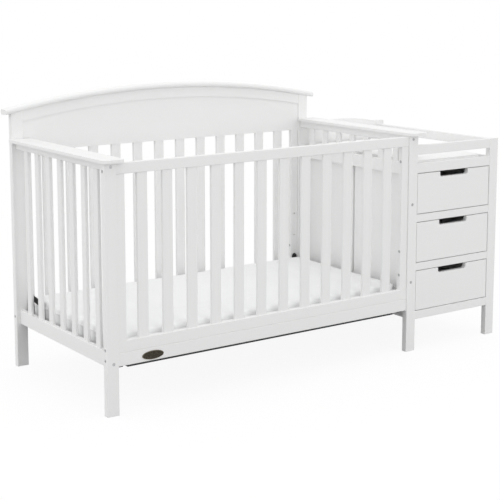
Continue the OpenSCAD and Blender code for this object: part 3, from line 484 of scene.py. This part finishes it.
def soft_piece(name, lo, hi, corner, edge, crown, voxel, cap):
    """A padded block in the box lo..hi, which the cloth simulation may swell by about cap."""
    thing = place_mesh(name, block(lo, hi, cap * SWELL_DRAWN_IN, corner, edge, crown))
    remesh = thing.modifiers.new("remesh", "REMESH")
    remesh.mode = "VOXEL"
    remesh.voxel_size = voxel
    applied(thing)
    swell(thing, cap, lo.z)
    smooth = thing.modifiers.new("smooth", "SUBSURF")
    smooth.levels = smooth.render_levels = 1
    applied(thing)
    for vertex in thing.data.vertices:
        vertex.co.z = max(vertex.co.z, lo.z)
    for face in thing.data.polygons:
        face.use_smooth = True
    return thing


def welt(name, carrier, lo, hi, corner, z, radius, sink):
    """Piping sewn round the piece at one height, set on the piece's own surface."""
    mesh = bmesh.new()
    mesh.from_mesh(carrier.data)
    tree = BVHTree.FromBMesh(mesh)
    mesh.free()
    middle = (lo + hi) / 2
    path = []
    guide = outline((hi.x - lo.x) / 2, (hi.y - lo.y) / 2, corner, WELT_CORNER_STEPS)
    for i, (x, y) in enumerate(guide):
        nx, ny = guide[(i + 1) % len(guide)]
        length = math.hypot(nx - x, ny - y)
        parts = max(1, round(length / WELT_STEP))
        for k in range(parts):
            share = k / parts
            seed = Vector((middle.x + x + (nx - x) * share, middle.y + y + (ny - y) * share, z))
            outward = Vector((seed.x - middle.x, seed.y - middle.y, 0)).normalized()
            found, normal, _, _ = tree.ray_cast(seed + outward * WELT_REACH, -outward)
            if found is None:
                found, normal, _, _ = tree.find_nearest(seed)
            level = Vector((normal.x, normal.y, 0)).normalized()
            spot = found + level * (radius - sink)
            path.append(Vector((spot.x, spot.y, z)))
    for _ in range(WELT_SMOOTHINGS):
        path = [
            (path[i - 1] + path[i] * 2 + path[(i + 1) % len(path)]) / 4 for i in range(len(path))
        ]
    tube = bmesh.new()
    rings = []
    for i, point in enumerate(path):
        ahead = (path[(i + 1) % len(path)] - path[i - 1]).normalized()
        out = ahead.cross(UP).normalized()
        ring = []
        for k in range(WELT_SIDES):
            turn = 2 * math.pi * k / WELT_SIDES
            away = out * math.cos(turn) + UP * math.sin(turn)
            ring.append(tube.verts.new(point + away * radius))
        rings.append(ring)
    for i, ring in enumerate(rings):
        after = rings[(i + 1) % len(rings)]
        for k in range(WELT_SIDES):
            m = (k + 1) % WELT_SIDES
            tube.faces.new((ring[k], ring[m], after[m], after[k]))
    bmesh.ops.recalc_face_normals(tube, faces=tube.faces)
    thing = place_mesh(name, tube)
    for face in thing.data.polygons:
        face.use_smooth = True
    return thing


def dress(thing, material, body):
    thing.data.materials.clear()
    thing.data.materials.append(material)
    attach(thing, body)


m_lo, m_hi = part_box("mattress")
mattress_corner = 0.032
mattress = soft_piece(
    "mattress_soft", m_lo, m_hi, mattress_corner, edge=0.018, crown=0.007, voxel=0.010, cap=0.006
)
dress(mattress, MATTRESS_FABRIC, "mattress_support")
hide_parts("mattress")
for word, height in (("upper", m_hi.z - 0.036), ("lower", m_lo.z + 0.018)):
    piping = welt(
        "mattress_welt_" + word, mattress, m_lo, m_hi, mattress_corner, height,
        radius=0.0022, sink=0.0012,
    )
    dress(piping, MATTRESS_WELT, "mattress_support")

p_lo, p_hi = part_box("changing_pad")
pad_corner = 0.030
pad = soft_piece(
    "changing_pad_soft", p_lo, p_hi, pad_corner, edge=0.008, crown=0.005, voxel=0.006, cap=0.004
)
dress(pad, PAD_FABRIC, "frame")
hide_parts("changing_pad")
piping = welt(
    "changing_pad_welt", pad, p_lo, p_hi, pad_corner, p_lo.z + 0.0205, radius=0.0018, sink=0.0009
)
dress(piping, PAD_WELT, "frame")


# --- Floor, surround and lamps ---
def make_floor():
    mesh = bmesh.new()
    turns = [2 * math.pi * i / FLOOR_SIDES for i in range(FLOOR_SIDES)]
    mesh.faces.new([
        mesh.verts.new((FLOOR_HALF * math.cos(turn), FLOOR_HALF * math.sin(turn), 0)) for turn in turns
    ])
    thing = place_mesh("studio_floor", mesh)
    g = Graph("studio_floor")
    parts = g.node("ShaderNodeVectorMath", operation="LENGTH")
    g.link(g.place, parts.inputs[0])
    far = g.span(parts.outputs["Value"], FLOOR_WHITE_NEAR, 1.0, FLOOR_WHITE_FROM, FLOOR_WHITE_AT)
    ray = g.node("ShaderNodeLightPath")
    seen = g.math("MAXIMUM", ray.outputs["Is Camera Ray"], ray.outputs["Is Glossy Ray"])
    seen = g.math("MAXIMUM", seen, ray.outputs["Is Transmission Ray"])
    share = g.math("MULTIPLY", seen, far)
    plain = g.node("ShaderNodeBsdfDiffuse")
    g.link(g.blend(seen, FLOOR_BOUNCE, FLOOR_SEEN), plain.inputs["Color"])
    white = g.node("ShaderNodeEmission")
    white.inputs["Color"].default_value = (1, 1, 1, 1)
    both = g.node("ShaderNodeMixShader")
    g.link(share, both.inputs[0])
    g.link(plain.outputs[0], both.inputs[1])
    g.link(white.outputs[0], both.inputs[2])
    g.link(both.outputs[0], g.tree.nodes["Material Output"].inputs["Surface"])
    g.tree.nodes.remove(g.shader)
    thing.data.materials.append(g.material)


def make_surround():
    world = bpy.data.worlds.new("studio_surround")
    scene.world = world
    world.use_nodes = True
    tree = world.node_tree
    tree.nodes.clear()
    ray = tree.nodes.new("ShaderNodeLightPath")
    first = tree.nodes.new("ShaderNodeMath")
    first.operation = "MAXIMUM"
    tree.links.new(ray.outputs["Is Camera Ray"], first.inputs[0])
    tree.links.new(ray.outputs["Is Glossy Ray"], first.inputs[1])
    seen = tree.nodes.new("ShaderNodeMath")
    seen.operation = "MAXIMUM"
    tree.links.new(first.outputs[0], seen.inputs[0])
    tree.links.new(ray.outputs["Is Transmission Ray"], seen.inputs[1])
    strength = tree.nodes.new("ShaderNodeMapRange")
    tree.links.new(seen.outputs[0], strength.inputs["Value"])
    strength.inputs["To Min"].default_value = SURROUND
    strength.inputs["To Max"].default_value = 1.0
    back = tree.nodes.new("ShaderNodeBackground")
    back.inputs["Color"].default_value = (1, 1, 1, 1)
    tree.links.new(strength.outputs["Result"], back.inputs["Strength"])
    out = tree.nodes.new("ShaderNodeOutputWorld")
    tree.links.new(back.outputs[0], out.inputs["Surface"])


def towards(heading, up):
    """The direction with this heading from +X towards +Y, and this angle above level."""
    return Vector((math.cos(heading) * math.cos(up), math.sin(heading) * math.cos(up), math.sin(up)))


def make_lamp(name, heading, up, watts):
    away = towards(heading, up)
    lamp = bpy.data.lights.new(name, "AREA")
    lamp.shape = "DISK"
    lamp.size = LAMP_SIZE
    lamp.energy = watts
    thing = bpy.data.objects.new(name, lamp)
    thing.location = LAMP_AIM + away * LAMP_FAR
    thing.rotation_mode = "QUATERNION"
    thing.rotation_quaternion = (-away).to_track_quat("-Z", "Y")
    scene.collection.objects.link(thing)


make_floor()
make_surround()
for lamp_name, (lamp_heading, lamp_up, lamp_watts) in LAMPS.items():
    make_lamp(lamp_name, lamp_heading, lamp_up, lamp_watts)

# --- The photograph's camera ---
look = bpy.data.cameras.new("photo_camera")
look.sensor_width = SENSOR_MM
look.lens = FOCAL_PX / PICTURE_PX * SENSOR_MM
look.shift_y = SHIFT_Y
look.clip_start, look.clip_end = 0.05, 500.0
camera = bpy.data.objects.new("photo_camera", look)
camera.location = CAMERA_AT
camera.rotation_mode = "QUATERNION"
camera.rotation_quaternion = towards(CAMERA_HEADING, -CAMERA_PITCH).to_track_quat("-Z", "Y")
scene.collection.objects.link(camera)
scene.camera = camera

scene.view_settings.view_transform = "Standard"
